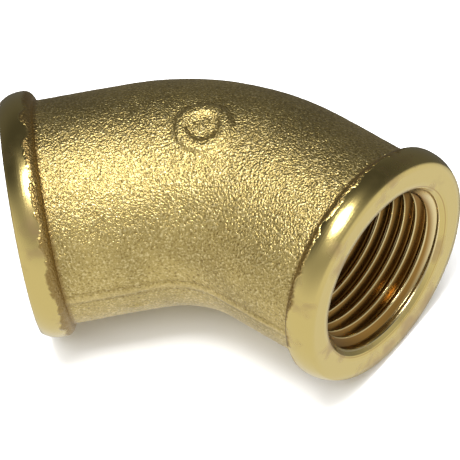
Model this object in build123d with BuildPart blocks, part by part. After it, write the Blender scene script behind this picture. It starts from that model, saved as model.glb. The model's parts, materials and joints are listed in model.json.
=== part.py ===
"""A 45 degree threaded pipe elbow, cast in one piece in brass, with a G 3/8 female thread at each end.

The elbow lies on its side, as it rests on a bench. The plane of the bend is level, the two arms
reach out and back along +X and -X, and the outer, convex side of the bend faces +Y. The origin
is the middle of the box round the whole fitting, at the level of the surface it lies on.
"""

from build123d import *
from build123d.topology import SkipClean

import os
from math import ceil, radians, tan

# The parallel pipe thread, G 3/8, with its 55 degree form
thread_major_diameter = 16.662
thread_minor_diameter = 14.950
thread_pitch = 1.337
thread_flank_angle = 27.5
thread_root_radius = 0.184
thread_depth = 10.0
thread_runout = 1.4
thread_start = 0.2
groove_overlap = 0.2
seam_planes = 3

# The drilled hole, its countersunk mouth and the cored waterway behind it
drill_past_thread = 1.0
countersink_past_major = 0.369
countersink_angle = 45.0
shoulder = 0.475
cored_land = 0.2

# The bend and its wall, measured from the thread's major diameter
bend_angle = 45.0
bend_radius = 18.4
wall = 2.269

# The bead round each mouth
bead_height = 1.1
bead_width = 3.1
bead_face_setback = 0.6
bead_crest_width = 0.25
bead_foot = 0.05

# The raised ring cast on the side of the bend
mark_outer_diameter = 5.4
mark_line_width = 1.2
mark_height = 0.35

# How far a cutting tool stands out of the metal it cuts
overrun = 1.5

half_bend = bend_angle / 2
thread_major_radius = thread_major_diameter / 2
thread_minor_radius = thread_minor_diameter / 2
mouth_radius = thread_major_radius + countersink_past_major
waterway_radius = thread_minor_radius - shoulder
body_radius = thread_major_radius + wall
bead_radius = body_radius + bead_height
bead_face_radius = bead_radius - bead_face_setback
drill_depth = thread_depth + drill_past_thread
arm_length = drill_depth + shoulder + cored_land
os.makedirs("parts", exist_ok=True)

# The centre line of the bend, from one arm to the other. The two axes cross at (0, 0, 0) until
# the fitting is set down.
tangent_length = bend_radius * tan(radians(half_bend))
centre_to_face = tangent_length + arm_length
outward_left = Vector(-1, 0, 0).rotate(Axis.Z, half_bend)
outward_right = Vector(1, 0, 0).rotate(Axis.Z, -half_bend)
with BuildLine() as centre_line:
    TangentArc(outward_left * tangent_length, outward_right * tangent_length, tangent=-outward_left)
bend_start = Plane(centre_line.line @ 0, x_dir=(0, 0, 1), z_dir=centre_line.line % 0)
bend_middle = centre_line.line @ 0.5

# One bead, made at the level of its end face. Its crown is an arc that rises from the edge of
# the machined face, and a full round brings its back down to the body.
bead_back_round = bead_height - bead_foot
bead_crown_setback = bead_width - bead_back_round - bead_crest_width
crown_radius = (bead_crown_setback**2 + bead_face_setback**2) / (2 * bead_face_setback)
with BuildPart() as bead:
    with BuildSketch(Plane.XZ) as bead_section:
        with BuildLine():
            front = Line((0, 0), (bead_face_radius, 0))
            crown = RadiusArc(front @ 1, (bead_radius, -bead_crown_setback), crown_radius)
            back = Line(crown @ 1, (bead_radius, -bead_width))
            Polyline(back @ 1, (0, -bead_width), (0, 0))
        make_face()
        fillet(bead_section.vertices().group_by(Axis.Y)[0].sort_by(Axis.X)[-1], bead_back_round)
    revolve(axis=Axis.Z)

# The drilled hole, with the cone its drill leaves at the bottom.
with BuildPart() as drill:
    with BuildSketch(Plane.XZ):
        with BuildLine():
            Polyline(
                (0, overrun),
                (thread_minor_radius, overrun),
                (thread_minor_radius, -drill_depth),
                (waterway_radius, -drill_depth - shoulder),
                (0, -drill_depth - shoulder),
                close=True,
            )
        make_face()
    revolve(axis=Axis.Z)

# The countersink that opens the mouth.
countersink_depth = (mouth_radius - thread_minor_radius) / tan(radians(countersink_angle))
with BuildPart() as countersink:
    with BuildSketch(Plane.XZ):
        with BuildLine():
            Polyline(
                (0, 0),
                (mouth_radius, 0),
                (thread_minor_radius, -countersink_depth),
                (0, -countersink_depth),
                close=True,
            )
        make_face()
    revolve(axis=Axis.Z)

# The thread groove: a V of 55 degrees with a rounded root, swept along a right-hand helix from
# below the deepest thread to above the end face.
sharp_depth = thread_pitch / 2 / tan(radians(thread_flank_angle))
groove_tip = thread_major_radius + sharp_depth / 6
groove_mouth = thread_minor_radius - groove_overlap
groove_half_width = (groove_tip - groove_mouth) * tan(radians(thread_flank_angle))
thread_turns = ceil(thread_depth / thread_pitch)
helix_foot = -thread_turns * thread_pitch - thread_start
with BuildLine() as helix:
    Helix(
        pitch=thread_pitch,
        height=(thread_turns + 1) * thread_pitch,
        radius=thread_minor_radius,
        center=(0, 0, helix_foot),
    )
with BuildPart() as groove:
    with BuildSketch(Plane((0, 0, helix_foot), (1, 0, 0), (0, -1, 0))) as groove_section:
        with BuildLine():
            Polyline(
                (groove_mouth, -groove_half_width),
                (groove_tip, 0),
                (groove_mouth, groove_half_width),
                close=True,
            )
        make_face()
        fillet(groove_section.vertices().sort_by(Axis.X)[-1], thread_root_radius)
    sweep(path=helix.line, is_frenet=True)

# The tap: what is left of the groove inside a sleeve that narrows over the last of the thread.
sleeve_inner = groove_mouth - overrun
sleeve_outer = groove_tip + groove_overlap
with BuildPart() as tap:
    add(groove.part)
    with BuildSketch(Plane.XZ):
        with BuildLine():
            Polyline(
                (sleeve_inner, overrun),
                (sleeve_outer, overrun),
                (sleeve_outer, thread_runout - thread_depth),
                (groove_mouth - groove_overlap, -thread_depth),
                (sleeve_inner, -thread_depth),
                close=True,
            )
        make_face()
    revolve(axis=Axis.Z, mode=Mode.INTERSECT)

# One arm, standing on its bend end with its mouth at the top.
with BuildPart() as arm:
    with BuildSketch(Plane.XY.offset(-arm_length)):
        Circle(body_radius)
        Circle(waterway_radius, mode=Mode.SUBTRACT)
    extrude(amount=arm_length)
    add(bead.part)
    add(drill.part, mode=Mode.SUBTRACT)
    add(tap.part, mode=Mode.SUBTRACT)
    add(countersink.part, mode=Mode.SUBTRACT)

# Seams run the whole length of the arm through its axis, so that each turn of the thread's crest
# is a few short panels of the drilled wall and not one long winding strip. SkipClean keeps them.
with BuildPart() as parted_arm:
    add(arm.part)
    with SkipClean():
        for seam in range(seam_planes):
            split(bisect_by=Plane.XZ.rotated((0, 0, 180 / seam_planes * seam)), keep=Keep.BOTH)
sectors = parted_arm.part.solids()
with SkipClean():
    seamed_arm = sectors[0].fuse(*sectors[1:], glue=True)

# The bend between the arms.
with BuildPart() as bend:
    with BuildSketch(bend_start):
        Circle(body_radius)
        Circle(waterway_radius, mode=Mode.SUBTRACT)
    sweep(path=centre_line.line)

# The raised ring stands out of the top of the bend by the same height all over.
with BuildPart() as mark:
    with BuildSketch(bend_start):
        Circle(body_radius + mark_height)
    sweep(path=centre_line.line)
    with BuildSketch(Plane.XY.offset(waterway_radius + mark_height)):
        with Locations((bend_middle.X, bend_middle.Y)):
            Circle(mark_outer_diameter / 2)
            Circle(mark_outer_diameter / 2 - mark_line_width, mode=Mode.SUBTRACT)
    extrude(amount=body_radius, mode=Mode.INTERSECT)

# The whole elbow, one casting.
mouth_left = Plane(outward_left * centre_to_face, x_dir=(0, 0, 1), z_dir=outward_left)
mouth_right = Plane(outward_right * centre_to_face, x_dir=(0, 0, 1), z_dir=outward_right)
with BuildPart() as elbow_body:
    add(bend.part)
    add(mark.part)
    with SkipClean():
        with Locations(mouth_left, mouth_right):
            add(seamed_arm)

# The finished fitting is set down with the middle of its underside at the origin.
box = elbow_body.part.bounding_box()
middle = box.center()
seated = Pos(-middle.X, -middle.Y, -box.min.Z) * elbow_body.part
seated.label = "elbow_body"
export_step(seated, "parts/elbow_body.step")
print("crossing of the two axes", -middle.X, -middle.Y, -box.min.Z)
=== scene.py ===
"""Looks of a cast brass 45 degree pipe elbow: its mesh, its metal, and a plain studio round it.

Lengths are in millimetres in this script, and MM turns them into the frame's metres. The whole
fitting is one closed mesh made of rings of vertices: out along the outside from the left mouth to
the right one, in over the end face and the countersink, down the thread, back through the
waterway and out again through the left thread.
"""

import json
import math

import bmesh
import bpy
import numpy as np
from mathutils import Matrix, Vector, noise


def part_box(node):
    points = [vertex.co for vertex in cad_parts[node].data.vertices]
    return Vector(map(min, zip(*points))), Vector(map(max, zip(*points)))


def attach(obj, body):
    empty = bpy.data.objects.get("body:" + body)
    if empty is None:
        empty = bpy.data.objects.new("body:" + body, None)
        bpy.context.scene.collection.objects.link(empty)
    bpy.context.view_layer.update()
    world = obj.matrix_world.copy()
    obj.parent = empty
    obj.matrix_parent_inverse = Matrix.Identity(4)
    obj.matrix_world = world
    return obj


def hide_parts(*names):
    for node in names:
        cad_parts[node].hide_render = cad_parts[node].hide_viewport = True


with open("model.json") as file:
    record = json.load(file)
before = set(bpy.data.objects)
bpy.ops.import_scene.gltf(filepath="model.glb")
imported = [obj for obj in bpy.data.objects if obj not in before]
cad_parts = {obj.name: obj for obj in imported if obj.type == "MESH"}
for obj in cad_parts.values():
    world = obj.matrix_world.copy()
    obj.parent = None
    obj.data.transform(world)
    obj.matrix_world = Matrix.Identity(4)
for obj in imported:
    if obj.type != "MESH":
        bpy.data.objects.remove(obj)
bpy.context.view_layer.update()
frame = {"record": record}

MM = 0.001

# ---------------------------------------------------------------- sizes of the fitting

BODY_RADIUS = 10.6
WATERWAY_RADIUS = 7.0
BEND_RADIUS = 18.4
BEAD_FACE_RADIUS = 11.1
BEAD_WIDTH = 3.1
BEAD_CROWN_SETBACK = 1.8
BEAD_BACK_ROUND = 1.05
MOUTH_RADIUS = 8.7
THREAD_PITCH = 1.337
THREAD_MAJOR_RADIUS = 8.331
THREAD_DEPTH = 10.0
THREAD_RUNOUT = 1.4
THREAD_START = 0.2
ROOT_RADIUS = 0.184
FLANK_ANGLE = math.radians(27.5)
DRILL_DEPTH = 11.0
MARK_RADII = (1.5, 2.7)
MARK_HEIGHT = 0.35
MARK_EDGE = 0.45

# the cast skin: broad waves, shot-blast grain, the parting ridge inside the bend, a scrap of flash
WAVE_LENGTH = 5.5
WAVE_HEIGHT = 0.07
GRAIN_LENGTH = 0.6
GRAIN_HEIGHT = 0.018
FINE_GRAIN_SHARE = 0.6
RIDGE_HEIGHT = 0.2
RIDGE_LEVEL = 0.8
RIDGE_SWING = 0.5
RIDGE_SWING_LENGTH = 2.2
RIDGE_HALF_WIDTH = 0.4
RIDGE_DRIFT = 0.012
RIDGE_DRIFT_LENGTH = 3.0
FLASH_PLACE = (-9.5, 3.3)
FLASH_HALF_SIZE = (1.6, 0.9)
FLASH_HEIGHT = 0.12

# the turned crown of a bead ends at a ragged line, and the cast flank behind it stands proud
TURNED_WIDTH = 2.3
RAGGED_LENGTH = 2.6
RAGGED_DEPTH = 0.25
RAGGED_FALL = 0.15
CAST_STEP = 0.025
CAST_STEP_ARC = 1.2
BEAD_RELIEF_SHARE = 0.6

# each noise field is the same one, moved by its own number of shifts
NOISE_SHIFT = (17.3, -5.1, 9.7)
WAVE_FIELD = 1
GRAIN_FIELD = 2
FINE_GRAIN_FIELD = 3
RAGGED_FIELD = 5
RIDGE_FIELD_ROW = 4.0

# how fine the mesh is
AROUND = 260
BODY_RING_SPACING = 0.24
CROWN_RINGS = 8
BEAD_TOP_SPACING = 0.12
BACK_ROUND_RINGS = 7
BACK_ROUND_START = 0.15
BEAD_FOOT = 0.02
FACE_RINGS = 5
WATERWAY_RINGS = 22
CREST_DULLING = 0.03

# the thread's net starts three turns above its mouth and is squeezed into the room at both ends
TURNS_ABOVE = 3
SPARE_TURNS = 5
SQUEEZED_TOP = 0.08
SQUEEZED_FOOT = 0.95


def frame_vector(values):
    """A point or direction of the record as a numpy vector."""
    return np.array(values, float)


def read_mounts():
    """Each mount of the record by its name."""
    return {mount["name"]: mount for mount in frame["record"]["mounts"]}


mounts = read_mounts()
RIGHT_AXIS = frame_vector(mounts["thread_right"]["axis"])
right_point = frame_vector(mounts["thread_right"]["pos_m"]) / MM
CROSSING = right_point - RIGHT_AXIS * right_point[0] / RIGHT_AXIS[0]
face_point = frame_vector(mounts["end_face_right"]["pos_m"]) / MM
CENTRE_TO_FACE = float((face_point - CROSSING) @ RIGHT_AXIS)
THREAD_MINOR_RADIUS = mounts["thread_right"]["dims"]["r_mm"]
HALF_BEND = math.atan2(-RIGHT_AXIS[1], RIGHT_AXIS[0])
BEAD_RADIUS = (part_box("elbow_body")[1].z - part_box("elbow_body")[0].z) / 2 / MM
TANGENT_LENGTH = BEND_RADIUS * math.tan(HALF_BEND)
ARM_LENGTH = CENTRE_TO_FACE - TANGENT_LENGTH

# ---------------------------------------------------------------- rings along the centre line

BEND_CENTRE = CROSSING - np.array([0, BEND_RADIUS / math.cos(HALF_BEND), 0])
UP = np.array([0.0, 0.0, 1.0])


def station(along):
    """The centre line at a distance along it from the middle of the bend, positive to the right.

    Returns the point and the direction towards the outer side.
    """
    turn = max(-HALF_BEND, min(HALF_BEND, along / BEND_RADIUS))
    outer = np.array([math.sin(turn), math.cos(turn), 0.0])
    ahead = np.array([math.cos(turn), -math.sin(turn), 0.0])
    beyond = along - turn * BEND_RADIUS
    return BEND_CENTRE + BEND_RADIUS * outer + beyond * ahead, outer


BEND_HALF_LENGTH = HALF_BEND * BEND_RADIUS
MARK_CENTRE = BEND_CENTRE + np.array([0.0, BEND_RADIUS, 0.0])
FACE_ALONG = BEND_HALF_LENGTH + ARM_LENGTH
ANGLES = np.arange(AROUND) * 2 * math.pi / AROUND


def ring(along, radii, shift=0.0):
    """One ring of vertices. radii and shift may differ from one angle to the next."""
    radii = np.broadcast_to(radii, AROUND)
    places = along + np.broadcast_to(shift, AROUND)
    rows = np.empty((AROUND, 3))
    for j, (angle, radius, place) in enumerate(zip(ANGLES, radii, places)):
        point, outer = station(place)
        rows[j] = point + radius * (math.cos(angle) * outer + math.sin(angle) * UP)
    return rows


# ---------------------------------------------------------------- profiles, as (depth, radius)


def smooth_bump(distance, half_width):
    """1 at the middle, 0 from half_width outwards, with a smooth fall between."""
    share = np.clip(np.abs(distance) / half_width, 0, 1)
    return 1 - share * share * (3 - 2 * share)


def wander(points, wavelength, field):
    """Smooth noise from -1 to 1 at each point, with hills about one wavelength apart."""
    shift = Vector([part * field for part in NOISE_SHIFT])
    scale = 1 / wavelength
    return np.array([noise.noise(Vector(p) * scale + shift) for p in points])


def cast_relief(points, along):
    """How far the cast skin stands out of its plain round form at each point of one ring."""
    waves = WAVE_HEIGHT * wander(points, WAVE_LENGTH, WAVE_FIELD)
    coarse = wander(points, GRAIN_LENGTH, GRAIN_FIELD)
    fine = wander(points, GRAIN_LENGTH / 2, FINE_GRAIN_FIELD)
    grain = GRAIN_HEIGHT * (coarse + FINE_GRAIN_SHARE * fine)
    ridge_angle = math.pi + RIDGE_DRIFT * np.sin(along / RIDGE_DRIFT_LENGTH)
    from_ridge = (ANGLES - ridge_angle) * BODY_RADIUS
    swing = noise.noise(Vector((along / RIDGE_SWING_LENGTH, RIDGE_FIELD_ROW, 0.0)))
    ridge_height = RIDGE_HEIGHT * (RIDGE_LEVEL + RIDGE_SWING * swing)
    ridge = ridge_height * smooth_bump(from_ridge, RIDGE_HALF_WIDTH)
    flash = FLASH_HEIGHT * smooth_bump(from_ridge - FLASH_PLACE[1], FLASH_HALF_SIZE[1])
    flash = flash * smooth_bump(along - FLASH_PLACE[0], FLASH_HALF_SIZE[0])
    return waves + grain + ridge + flash


def mark_relief(points):
    """The raised foundry ring on top of the bend."""
    away = np.hypot(points[:, 0] - MARK_CENTRE[0], points[:, 1] - MARK_CENTRE[1])
    from_edge = np.minimum(away - MARK_RADII[0], MARK_RADII[1] - away)
    rise = np.clip(0.5 + from_edge / MARK_EDGE, 0, 1)
    on_top = points[:, 2] > CROSSING[2]
    return MARK_HEIGHT * rise * rise * (3 - 2 * rise) * on_top


def bead_profile():
    """The bead from the edge of the end face to the body, as (depth behind the face, radius)."""
    rise = BEAD_RADIUS - BEAD_FACE_RADIUS
    crown = (BEAD_CROWN_SETBACK**2 + rise**2) / (2 * rise)
    steepest = math.asin(BEAD_CROWN_SETBACK / crown)
    rows = []
    for angle in np.linspace(steepest, 0, CROWN_RINGS):
        rows.append((
            BEAD_CROWN_SETBACK - crown * math.sin(angle),
            BEAD_RADIUS - crown * (1 - math.cos(angle)),
        ))
    centre_depth = BEAD_WIDTH - BEAD_BACK_ROUND
    centre_radius = BEAD_RADIUS - BEAD_BACK_ROUND
    for depth in np.arange(BEAD_CROWN_SETBACK, centre_depth, BEAD_TOP_SPACING)[1:]:
        rows.append((depth, BEAD_RADIUS))
    for angle in np.linspace(BACK_ROUND_START, 1.0, BACK_ROUND_RINGS) * math.pi / 2:
        rows.append((
            centre_depth + BEAD_BACK_ROUND * math.sin(angle),
            centre_radius + BEAD_BACK_ROUND * math.cos(angle),
        ))
    rows.append((BEAD_WIDTH + BEAD_FOOT, BODY_RADIUS + BEAD_FOOT))
    return rows


def groove_profile():
    """One turn of the thread from one groove's middle to the next, as (offset, radius).

    The root's round takes a sixth off the height of the sharp form.
    """
    sharp = THREAD_PITCH / 2 / math.tan(FLANK_ANGLE)
    tip = THREAD_MAJOR_RADIUS + sharp / 6
    half_width = (tip - THREAD_MINOR_RADIUS) * math.tan(FLANK_ANGLE)
    root_centre = tip - ROOT_RADIUS / math.sin(FLANK_ANGLE)
    root_half = ROOT_RADIUS * math.cos(FLANK_ANGLE)
    root_edge = root_centre + ROOT_RADIUS * math.sin(FLANK_ANGLE)
    fall = CREST_DULLING / math.tan(FLANK_ANGLE)
    rows = [
        (0.0, root_centre + ROOT_RADIUS),
        (root_half, root_edge),
        (half_width - CREST_DULLING, THREAD_MINOR_RADIUS + fall),
        (half_width + CREST_DULLING, THREAD_MINOR_RADIUS),
    ]
    mirrored = [(THREAD_PITCH - offset, radius) for offset, radius in rows[:0:-1]]
    return rows + mirrored


def thread_radius(depth, cut_radius):
    """The wall's radius at a depth, where the groove alone would leave cut_radius."""
    countersink = MOUTH_RADIUS - depth
    run = (THREAD_DEPTH - depth) / THREAD_RUNOUT
    runout = THREAD_MINOR_RADIUS + (THREAD_MAJOR_RADIUS - THREAD_MINOR_RADIUS) * run
    cut = min(cut_radius, runout)
    return max(cut, THREAD_MINOR_RADIUS, countersink)


# ---------------------------------------------------------------- the closed mesh


class Shell:
    """Vertices and faces of the fitting while they are gathered."""

    def __init__(self):
        self.points = []
        self.faces = []

    def add(self, rows):
        """Adds a ring's vertices and returns their indices."""
        first = len(self.points)
        self.points.extend(map(tuple, rows))
        return list(range(first, first + len(rows)))

    def join(self, a, b):
        """A closed band of quads between two rings."""
        for j in range(AROUND):
            k = (j + 1) % AROUND
            self.faces.append((a[j], a[k], b[k], b[j]))

    def join_all(self, rings):
        for a, b in zip(rings[:-1], rings[1:]):
            self.join(a, b)


def bead_ring(along, depth, radius):
    """One ring of a bead: turned and plain in front of the ragged line, cast behind it."""
    plain = ring(along, radius)
    edge = TURNED_WIDTH + RAGGED_DEPTH * wander(plain, RAGGED_LENGTH, RAGGED_FIELD)
    cast = np.clip((depth - edge) / RAGGED_FALL, 0, 1)
    behind_crown = max(0.0, depth - BEAD_CROWN_SETBACK) / (BEAD_WIDTH - BEAD_CROWN_SETBACK)
    step = CAST_STEP * math.cos(min(1.0, behind_crown) * CAST_STEP_ARC)
    return ring(along, radius + cast * (step + BEAD_RELIEF_SHARE * cast_relief(plain, along)))


def outside_rings(shell):
    """The outside, from the edge of the left end face to the edge of the right one."""
    bead = bead_profile()
    rings = []
    for depth, radius in bead:
        rings.append(shell.add(bead_ring(-FACE_ALONG + depth, depth, radius)))
    reach = FACE_ALONG - bead[-1][0]
    count = round(2 * reach / BODY_RING_SPACING)
    for along in np.linspace(-reach, reach, count + 1)[1:-1]:
        plain = ring(along, BODY_RADIUS)
        relief = cast_relief(plain, along) + mark_relief(plain)
        rings.append(shell.add(ring(along, BODY_RADIUS + relief)))
    for depth, radius in bead[::-1]:
        rings.append(shell.add(bead_ring(FACE_ALONG - depth, depth, radius)))
    shell.join_all(rings)
    return rings


def thread_rings(shell, side, first_ring, last_ring):
    """The thread of one arm, as a net that climbs with the helix, stitched between two plain rings.

    Row i of the net is one line of the thread's profile all the way round. A full turn on, it
    meets row i + step, where step is the number of lines in one turn. Seen from its own mouth each
    thread sinks clockwise, so the right arm's rows run round the other way.
    """
    profile = groove_profile()
    step = len(profile)
    turns = math.ceil(THREAD_DEPTH / THREAD_PITCH) + SPARE_TURNS
    cone_end = MOUTH_RADIUS - THREAD_MAJOR_RADIUS
    first_depth = THREAD_START - THREAD_PITCH * (TURNS_ABOVE - side / 4)
    order = [-side * j % AROUND for j in range(AROUND)]
    first_ring = [first_ring[j] for j in order]
    last_ring = [last_ring[j] for j in order]
    rows = []
    for turn in range(turns):
        for offset, radius in profile:
            rows.append((first_depth + turn * THREAD_PITCH + offset, radius))
    top_depth = rows[0][0]
    bottom_depth = rows[-1][0] + THREAD_PITCH
    net = []
    for raw_depth, radius in rows:
        depths = np.empty(AROUND)
        radii = np.empty(AROUND)
        for j, place in enumerate(order):
            depth = raw_depth + THREAD_PITCH * j / AROUND
            if depth < cone_end:
                squeezed = (1 - SQUEEZED_TOP) * (depth - top_depth) / (cone_end - top_depth)
                depth = cone_end * (SQUEEZED_TOP + squeezed)
            elif depth > THREAD_DEPTH:
                past = (depth - THREAD_DEPTH) / (bottom_depth - THREAD_DEPTH)
                depth = THREAD_DEPTH + (DRILL_DEPTH - THREAD_DEPTH) * SQUEEZED_FOOT * past
            depths[place] = depth
            radii[place] = thread_radius(depth, radius)
        line = shell.add(ring(0.0, radii, shift=side * (FACE_ALONG - depths)))
        net.append([line[place] for place in order])
    last = AROUND - 1
    for a, b in zip(net[:-1], net[1:]):
        for j in range(last):
            shell.faces.append((a[j], a[j + 1], b[j + 1], b[j]))
    for i in range(len(net) - step - 1):
        k = i + step
        shell.faces.append((net[i][last], net[k][0], net[k + 1][0], net[i + 1][last]))
    top, bottom = net[0], net[-1]
    for j in range(last):
        shell.faces.append((first_ring[j], first_ring[j + 1], top[j + 1], top[j]))
        shell.faces.append((bottom[j], bottom[j + 1], last_ring[j + 1], last_ring[j]))
    seam_down = [net[i][0] for i in range(step + 1)]
    shell.faces.append((first_ring[last], first_ring[0], *seam_down, top[last]))
    seam_up = [net[i][last] for i in range(len(net) - step - 1, len(net))]
    shell.faces.append((*seam_up, last_ring[last], last_ring[0], bottom[0]))


def inside_rings(shell, right_edge, left_edge):
    """The end faces, threads and waterway, from the right end's edge back to the left one's."""
    shoulder = THREAD_MINOR_RADIUS - WATERWAY_RADIUS
    deep = DRILL_DEPTH + shoulder
    mouths = {}
    for side, edge in ((1, right_edge), (-1, left_edge)):
        face_radii = np.linspace(BEAD_FACE_RADIUS, MOUTH_RADIUS, FACE_RINGS)[1:]
        rows = [edge] + [shell.add(ring(side * FACE_ALONG, radius)) for radius in face_radii]
        shell.join_all(rows)
        drill_end = shell.add(ring(side * (FACE_ALONG - DRILL_DEPTH), THREAD_MINOR_RADIUS))
        cored = shell.add(ring(side * (FACE_ALONG - deep), WATERWAY_RADIUS))
        shell.join(drill_end, cored)
        thread_rings(shell, side, rows[-1], drill_end)
        mouths[side] = cored
    inner = [
        shell.add(ring(along, WATERWAY_RADIUS))
        for along in np.linspace(deep - FACE_ALONG, FACE_ALONG - deep, WATERWAY_RINGS)[1:-1]
    ]
    shell.join_all([mouths[-1], *inner, mouths[1]])


def build_elbow():
    """The fitting as one closed mesh object."""
    shell = Shell()
    outside = outside_rings(shell)
    inside_rings(shell, outside[-1], outside[0])
    mesh = bpy.data.meshes.new("elbow")
    mesh.from_pydata([tuple(MM * v for v in p) for p in shell.points], [], shell.faces)
    mesh.validate()
    net = bmesh.new()
    net.from_mesh(mesh)
    bmesh.ops.recalc_face_normals(net, faces=net.faces)
    net.to_mesh(mesh)
    net.free()
    mesh.shade_smooth()
    elbow = bpy.data.objects.new("elbow", mesh)
    bpy.context.collection.objects.link(elbow)
    return elbow


# ---------------------------------------------------------------- metal

CAST_LIGHT = (0.56, 0.43, 0.155, 1)
CAST_DARK = (0.44, 0.335, 0.12, 1)
# painted glints: the high points of the cast grain are painted bright
CAST_GLINT_COLOUR = (0.95, 0.80, 0.42, 1)
# painted shade: used in the hollows of the cast grain and in a band beside the parting line
CAST_SHADE_COLOUR = (0.24, 0.16, 0.05, 1)
TURNED_COLOUR = (0.64, 0.505, 0.185, 1)
STAIN_COLOUR = (0.40, 0.26, 0.14, 1)
BORE_COLOUR = (0.38, 0.17, 0.05, 1)
# painted highlight along the parting line
RIDGE_HIGHLIGHT_COLOUR = (0.78, 0.62, 0.28, 1)
# painted shade in the crease behind each bead
CREASE_SHADE_COLOUR = (0.30, 0.19, 0.06, 1)
LIP_COLOUR = (0.42, 0.27, 0.08, 1)
# painted highlight on the thread's crests and at its mouth
CREST_HIGHLIGHT_COLOUR = (0.80, 0.66, 0.34, 1)
# painted shade in the thread's roots
ROOT_SHADE_COLOUR = (0.30, 0.165, 0.04, 1)
GRAIN_BUMP = 0.12
TURNING_MARK = 0.012

# Faces of the mesh that lie no further than this past the thread's major radius are bore.
BORE_MARGIN = 0.02

# Noise in the metal, as (hills per mm, detail, roughness).
RAGGED_NOISE = (0.42, 3.0, 0.6)
BLOTCH_NOISE = (0.16, 3.0, 0.6)
SPECK_NOISE = (4.6, 1.0, 0.5)
FINE_NOISE = (7.0, 1.0, 0.5)
STAIN_NOISE = (0.24, 3.0, 0.55)
TURNING_NOISE = (6.0, 3.0, 0.7)
CORED_NOISE = (3.0, 2.0, 0.6)
STAIN_SHIFT = (31.0, 8.0, 4.0)
FINE_SHARE = 0.55

# A band maps a value from its first number to its second onto 0 to 1, or onto its last two.
RAGGED_BAND = (0.3, 0.7, TURNED_WIDTH - 0.35, TURNED_WIDTH + 0.35)
CAST_BAND = (-0.15, 0.15)
BLOTCH_BAND = (0.35, 0.65)
GLINT_BAND = (0.5, 0.72, 0.0, 0.55)
GRAIN_SHADE_BAND = (0.42, 0.3, 0.0, 0.6)
RIDGE_HIGHLIGHT_BAND = (0.1, 0.4, 0.5, 0.0)
RIDGE_SHADE_PLACE = 0.65
RIDGE_SHADE_BAND = (0.05, 0.3, 0.3, 0.0)
CREASE_SHADE_BAND = (BEAD_WIDTH + 0.05, BEAD_WIDTH + 0.5, 0.75, 0.0)
STAIN_BAND = (0.52, 0.7, 0.0, 0.6)
LIP_RADIUS = MOUTH_RADIUS + 0.09
LIP_BAND = (0.02, 0.1, 0.65, 0.0)
TURNED_ROUGHNESS_BAND = (0.5, 0.7, 0.23, 0.36)
CAST_ROUGHNESS_BAND = (0.3, 0.7, 0.32, 0.5)
CORED_BAND = (DRILL_DEPTH + 0.3, DRILL_DEPTH + 0.6)
ROOT_BAND = (THREAD_MINOR_RADIUS + 0.01, THREAD_MINOR_RADIUS + 0.16)
THREADED_BAND = (0.7, 1.1)
DRILLED_ROUGHNESS = 0.24
CORED_ROUGHNESS = 0.5


class Nodes:
    """Short calls for building one tree of nodes. Sockets are passed about, and numbers too.

    A mix node has its own sockets for each kind of value: 2 and 3 for numbers, 6 and 7 for colours.
    """

    def __init__(self, tree):
        self.tree = tree

    def put(self, socket, value):
        if isinstance(value, bpy.types.NodeSocket):
            self.tree.links.new(value, socket)
        else:
            socket.default_value = value

    def coordinate(self, kind):
        return self.tree.nodes.new("ShaderNodeTexCoord").outputs[kind]

    def math(self, operation, *values):
        node = self.tree.nodes.new("ShaderNodeMath")
        node.operation = operation
        for socket, value in zip(node.inputs, values):
            self.put(socket, value)
        return node.outputs[0]

    def vector(self, operation, *values, out="Vector"):
        node = self.tree.nodes.new("ShaderNodeVectorMath")
        node.operation = operation
        for socket, value in zip(node.inputs, values):
            self.put(socket, value)
        return node.outputs[out]

    def split(self, vector):
        """The three parts of a vector."""
        node = self.tree.nodes.new("ShaderNodeSeparateXYZ")
        self.put(node.inputs[0], vector)
        return node.outputs

    def join(self, *parts):
        """A vector from up to three parts."""
        node = self.tree.nodes.new("ShaderNodeCombineXYZ")
        for socket, value in zip(node.inputs, parts):
            self.put(socket, value)
        return node.outputs[0]

    def noise(self, place, scale, detail, rough):
        node = self.tree.nodes.new("ShaderNodeTexNoise")
        self.put(node.inputs["Vector"], place)
        self.put(node.inputs["Scale"], scale)
        self.put(node.inputs["Detail"], detail)
        self.put(node.inputs["Roughness"], rough)
        return node.outputs["Fac"]

    def step(self, value, low, high, to_low=0.0, to_high=1.0):
        """value mapped from low..high to to_low..to_high, held at both ends, with a soft fall."""
        node = self.tree.nodes.new("ShaderNodeMapRange")
        node.interpolation_type = "SMOOTHSTEP"
        self.put(node.inputs["Value"], value)
        self.put(node.inputs["From Min"], low)
        self.put(node.inputs["From Max"], high)
        self.put(node.inputs["To Min"], to_low)
        self.put(node.inputs["To Max"], to_high)
        return node.outputs["Result"]

    def mix(self, share, a, b):
        """Two colours mixed by share."""
        node = self.tree.nodes.new("ShaderNodeMix")
        node.data_type = "RGBA"
        self.put(node.inputs[0], share)
        self.put(node.inputs[6], a)
        self.put(node.inputs[7], b)
        return node.outputs[2]

    def blend(self, share, a, b):
        """Two numbers mixed by share."""
        node = self.tree.nodes.new("ShaderNodeMix")
        self.put(node.inputs[0], share)
        self.put(node.inputs[2], a)
        self.put(node.inputs[3], b)
        return node.outputs[0]

    def bump(self, height):
        """The normal of a surface raised by height, in mm."""
        node = self.tree.nodes.new("ShaderNodeBump")
        self.put(node.inputs["Height"], height)
        self.put(node.inputs["Strength"], 1.0)
        self.put(node.inputs["Distance"], MM)
        return node.outputs["Normal"]


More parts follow.
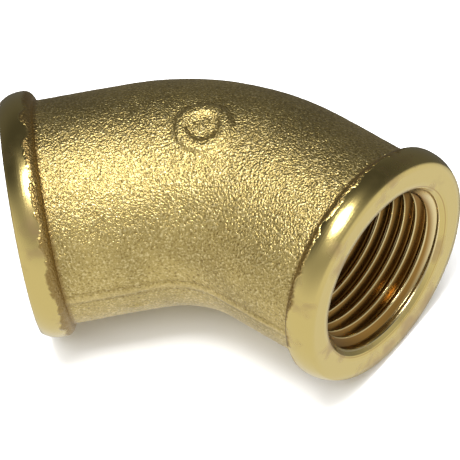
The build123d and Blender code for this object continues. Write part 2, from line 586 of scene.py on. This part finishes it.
def places(nodes):
    """The shaded point in mm: where it is, its depth behind the nearer end face and its radius
    from that arm's axis."""
    here = nodes.vector("SCALE", nodes.coordinate("Object"))
    here.node.inputs["Scale"].default_value = 1 / MM
    from_crossing = nodes.vector("SUBTRACT", here, tuple(CROSSING))
    right_side = nodes.split(nodes.vector("ABSOLUTE", from_crossing))[0]
    parts = nodes.split(from_crossing)
    folded = nodes.join(right_side, parts[1], parts[2])
    axis = tuple(RIGHT_AXIS)
    reach = nodes.vector("DOT_PRODUCT", folded, axis, out="Value")
    across = nodes.vector("CROSS_PRODUCT", folded, axis)
    radius = nodes.vector("LENGTH", across, out="Value")
    depth = nodes.math("SUBTRACT", CENTRE_TO_FACE, reach)
    return here, depth, radius


def new_material(name, build):
    """A metal whose colour, roughness and relief come from build, one of the functions below."""
    material = bpy.data.materials.new(name)
    material.use_nodes = True
    nodes = Nodes(material.node_tree)
    shader = material.node_tree.nodes["Principled BSDF"]
    shader.inputs["Metallic"].default_value = 1.0
    colour, roughness, height = build(nodes, *places(nodes))
    nodes.put(shader.inputs["Base Color"], colour)
    nodes.put(shader.inputs["Roughness"], roughness)
    nodes.put(shader.inputs["Normal"], nodes.bump(height))
    return material


def cast_colour(nodes, here, depth, speck):
    """Shot-blasted skin with painted glints and painted shade on its grain, a painted highlight
    along the parting ridge with painted shade beside it, and painted shade in the crease behind the
    beads.
    """
    blotch = nodes.noise(here, *BLOTCH_NOISE)
    tone = nodes.mix(nodes.step(blotch, *BLOTCH_BAND), CAST_DARK, CAST_LIGHT)
    # painted glints on the high points of the grain
    tone = nodes.mix(nodes.step(speck, *GLINT_BAND), tone, CAST_GLINT_COLOUR)
    # painted shade in the hollows of the grain
    tone = nodes.mix(nodes.step(speck, *GRAIN_SHADE_BAND), tone, CAST_SHADE_COLOUR)
    above = nodes.math("ABSOLUTE", nodes.math("SUBTRACT", nodes.split(here)[2], CROSSING[2]))
    # painted highlight along the parting line, at the height of the bend's middle
    tone = nodes.mix(nodes.step(above, *RIDGE_HIGHLIGHT_BAND), tone, RIDGE_HIGHLIGHT_COLOUR)
    # painted shade in a band beside the parting line
    shade = nodes.math("ABSOLUTE", nodes.math("SUBTRACT", above, RIDGE_SHADE_PLACE))
    tone = nodes.mix(nodes.step(shade, *RIDGE_SHADE_BAND), tone, CAST_SHADE_COLOUR)
    # painted shade in the crease where each bead meets the body
    return nodes.mix(nodes.step(depth, *CREASE_SHADE_BAND), tone, CREASE_SHADE_COLOUR)


def turned_colour(nodes, radius, stain):
    """Turned metal, a little stained, with a dark line at the countersink's lip."""
    tone = nodes.mix(nodes.step(stain, *STAIN_BAND), TURNED_COLOUR, STAIN_COLOUR)
    lip = nodes.math("ABSOLUTE", nodes.math("SUBTRACT", radius, LIP_RADIUS))
    return nodes.mix(nodes.step(lip, *LIP_BAND), tone, LIP_COLOUR)


def skin(nodes, here, depth, radius):
    """The outside and the end faces: cast skin, and turned metal in front of the ragged line."""
    limit = nodes.step(nodes.noise(here, *RAGGED_NOISE), *RAGGED_BAND)
    cast = nodes.step(nodes.math("SUBTRACT", depth, limit), *CAST_BAND)
    speck = nodes.noise(here, *SPECK_NOISE)
    fine = nodes.noise(here, *FINE_NOISE)
    stain = nodes.noise(nodes.vector("ADD", here, STAIN_SHIFT), *STAIN_NOISE)
    turned_tone = turned_colour(nodes, radius, stain)
    colour = nodes.mix(cast, turned_tone, cast_colour(nodes, here, depth, speck))

    turned_rough = nodes.step(stain, *TURNED_ROUGHNESS_BAND)
    cast_rough = nodes.step(fine, *CAST_ROUGHNESS_BAND)
    roughness = nodes.blend(cast, turned_rough, cast_rough)

    turning = nodes.noise(nodes.join(nodes.math("ADD", radius, depth)), *TURNING_NOISE)
    grain = nodes.math("ADD", speck, nodes.math("MULTIPLY", fine, FINE_SHARE))
    turned_height = nodes.math("MULTIPLY", turning, TURNING_MARK)
    height = nodes.blend(cast, turned_height, nodes.math("MULTIPLY", grain, GRAIN_BUMP))
    return colour, roughness, height


def bore(nodes, here, depth, radius):
    """Tapped and drilled wall, and the cored waterway behind it."""
    cored = nodes.step(depth, *CORED_BAND)
    # painted highlight on the crests, painted shade deeper towards the roots
    threaded = nodes.mix(nodes.step(radius, *ROOT_BAND), CREST_HIGHLIGHT_COLOUR, ROOT_SHADE_COLOUR)
    # the mouth, in front of the threaded depth, also takes the crests' painted highlight
    drilled = nodes.mix(nodes.step(depth, *THREADED_BAND), CREST_HIGHLIGHT_COLOUR, threaded)
    colour = nodes.mix(cored, drilled, BORE_COLOUR)
    roughness = nodes.blend(cored, DRILLED_ROUGHNESS, CORED_ROUGHNESS)
    grain = nodes.noise(here, *CORED_NOISE)
    height = nodes.math("MULTIPLY", nodes.math("MULTIPLY", grain, cored), GRAIN_BUMP)
    return colour, roughness, height


elbow = build_elbow()
elbow.data.materials.append(new_material("brass_skin", skin))
elbow.data.materials.append(new_material("brass_bore", bore))
bore_from = THREAD_MAJOR_RADIUS + BORE_MARGIN
for polygon in elbow.data.polygons:
    centre = np.array(polygon.center) / MM - CROSSING
    centre[0] = abs(centre[0])
    inside = np.linalg.norm(np.cross(centre, RIGHT_AXIS)) < bore_from
    polygon.material_index = int(inside and abs(centre @ RIGHT_AXIS) < CENTRE_TO_FACE)
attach(elbow, "root")
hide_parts("elbow_body")

# ---------------------------------------------------------------- floor, light and camera

CAMERA_BACK = Vector((0.27734, -0.52856, 0.80231))
CAMERA_UP = Vector((-0.14268, 0.80315, 0.57844))
CAMERA_DISTANCE = 509.4
CAMERA_RIGHT = 0.494
CAMERA_DOWN = 4.567
CAMERA_LENS = 425.9
CAMERA_SENSOR = 36.0
CAMERA_CLIP = (0.01, 10.0)

FLOOR_SIZE = 2.0
FLOOR_COLOUR = (0.95, 0.95, 0.95, 1)
FLOOR_ROUGHNESS = 0.9

ROOM_BEHIND = (-0.38, 0.86, 0.35)
ROOM_FALL = (-0.1, 0.4)
ROOM_RISE = (0.0, 0.7)
ROOM_CEILING = 0.45
ROOM_LIGHT = 0.94
ROOM_DARK = 0.14
ROOM_COLOUR = (1, 1, 1, 1)


def make_camera():
    """A long lens looking down on the fitting from the front right, tilted a little."""
    back = CAMERA_BACK.normalized()
    right = CAMERA_UP.cross(back).normalized()
    up = back.cross(right)
    aim = Vector(CROSSING) + CAMERA_RIGHT * right - CAMERA_DOWN * up
    data = bpy.data.cameras.new("camera")
    data.lens = CAMERA_LENS
    data.sensor_width = CAMERA_SENSOR
    data.clip_start, data.clip_end = CAMERA_CLIP
    camera = bpy.data.objects.new("camera", data)
    turn = Matrix((right, up, back)).transposed().to_4x4()
    camera.matrix_world = Matrix.Translation((aim + CAMERA_DISTANCE * back) * MM) @ turn
    bpy.context.collection.objects.link(camera)
    bpy.context.scene.camera = camera


def make_floor():
    """A plain pale floor."""
    bpy.ops.mesh.primitive_plane_add(size=FLOOR_SIZE)
    floor = bpy.context.object
    floor.name = "floor"
    paint = bpy.data.materials.new("floor")
    paint.use_nodes = True
    shader = paint.node_tree.nodes["Principled BSDF"]
    shader.inputs["Base Color"].default_value = FLOOR_COLOUR
    shader.inputs["Roughness"].default_value = FLOOR_ROUGHNESS
    floor.data.materials.append(paint)
    return floor


def make_light(name, direction, distance, size, power):
    """A square soft light facing the fitting."""
    data = bpy.data.lights.new(name, "AREA")
    data.shape = "SQUARE"
    data.size = size * MM
    data.energy = power
    light = bpy.data.objects.new(name, data)
    toward = Vector(direction).normalized()
    light.location = (Vector(CROSSING) + toward * distance) * MM
    light.rotation_mode = "QUATERNION"
    light.rotation_quaternion = toward.to_track_quat("Z", "Y")
    bpy.context.collection.objects.link(light)
    return light


def make_studio():
    """The room round the fitting: pale in front of it and at its sides, dark behind it."""
    world = bpy.data.worlds.new("studio")
    world.use_nodes = True
    nodes = Nodes(world.node_tree)
    direction = nodes.coordinate("Generated")
    towards_back = Vector(ROOM_BEHIND).normalized()
    behind = nodes.vector("DOT_PRODUCT", direction, towards_back, out="Value")
    level = nodes.step(behind, *ROOM_FALL, ROOM_LIGHT, ROOM_DARK)
    ceiling = nodes.step(nodes.split(direction)[2], *ROOM_RISE, 1.0, ROOM_CEILING)
    background = world.node_tree.nodes["Background"]
    nodes.put(background.inputs["Strength"], nodes.math("MULTIPLY", level, ceiling))
    background.inputs["Color"].default_value = ROOM_COLOUR
    bpy.context.scene.world = world
    bpy.context.scene.view_settings.view_transform = "Standard"


make_camera()
floor = make_floor()
floor.visible_glossy = False
make_light("top_softbox", direction=(0.04, -0.13, 1.0), distance=300, size=100, power=0.9)
fill = make_light("floor_fill", direction=(0.0, 0.0, 1.0), distance=600, size=900, power=9.0)
fill.visible_glossy = False
make_studio()
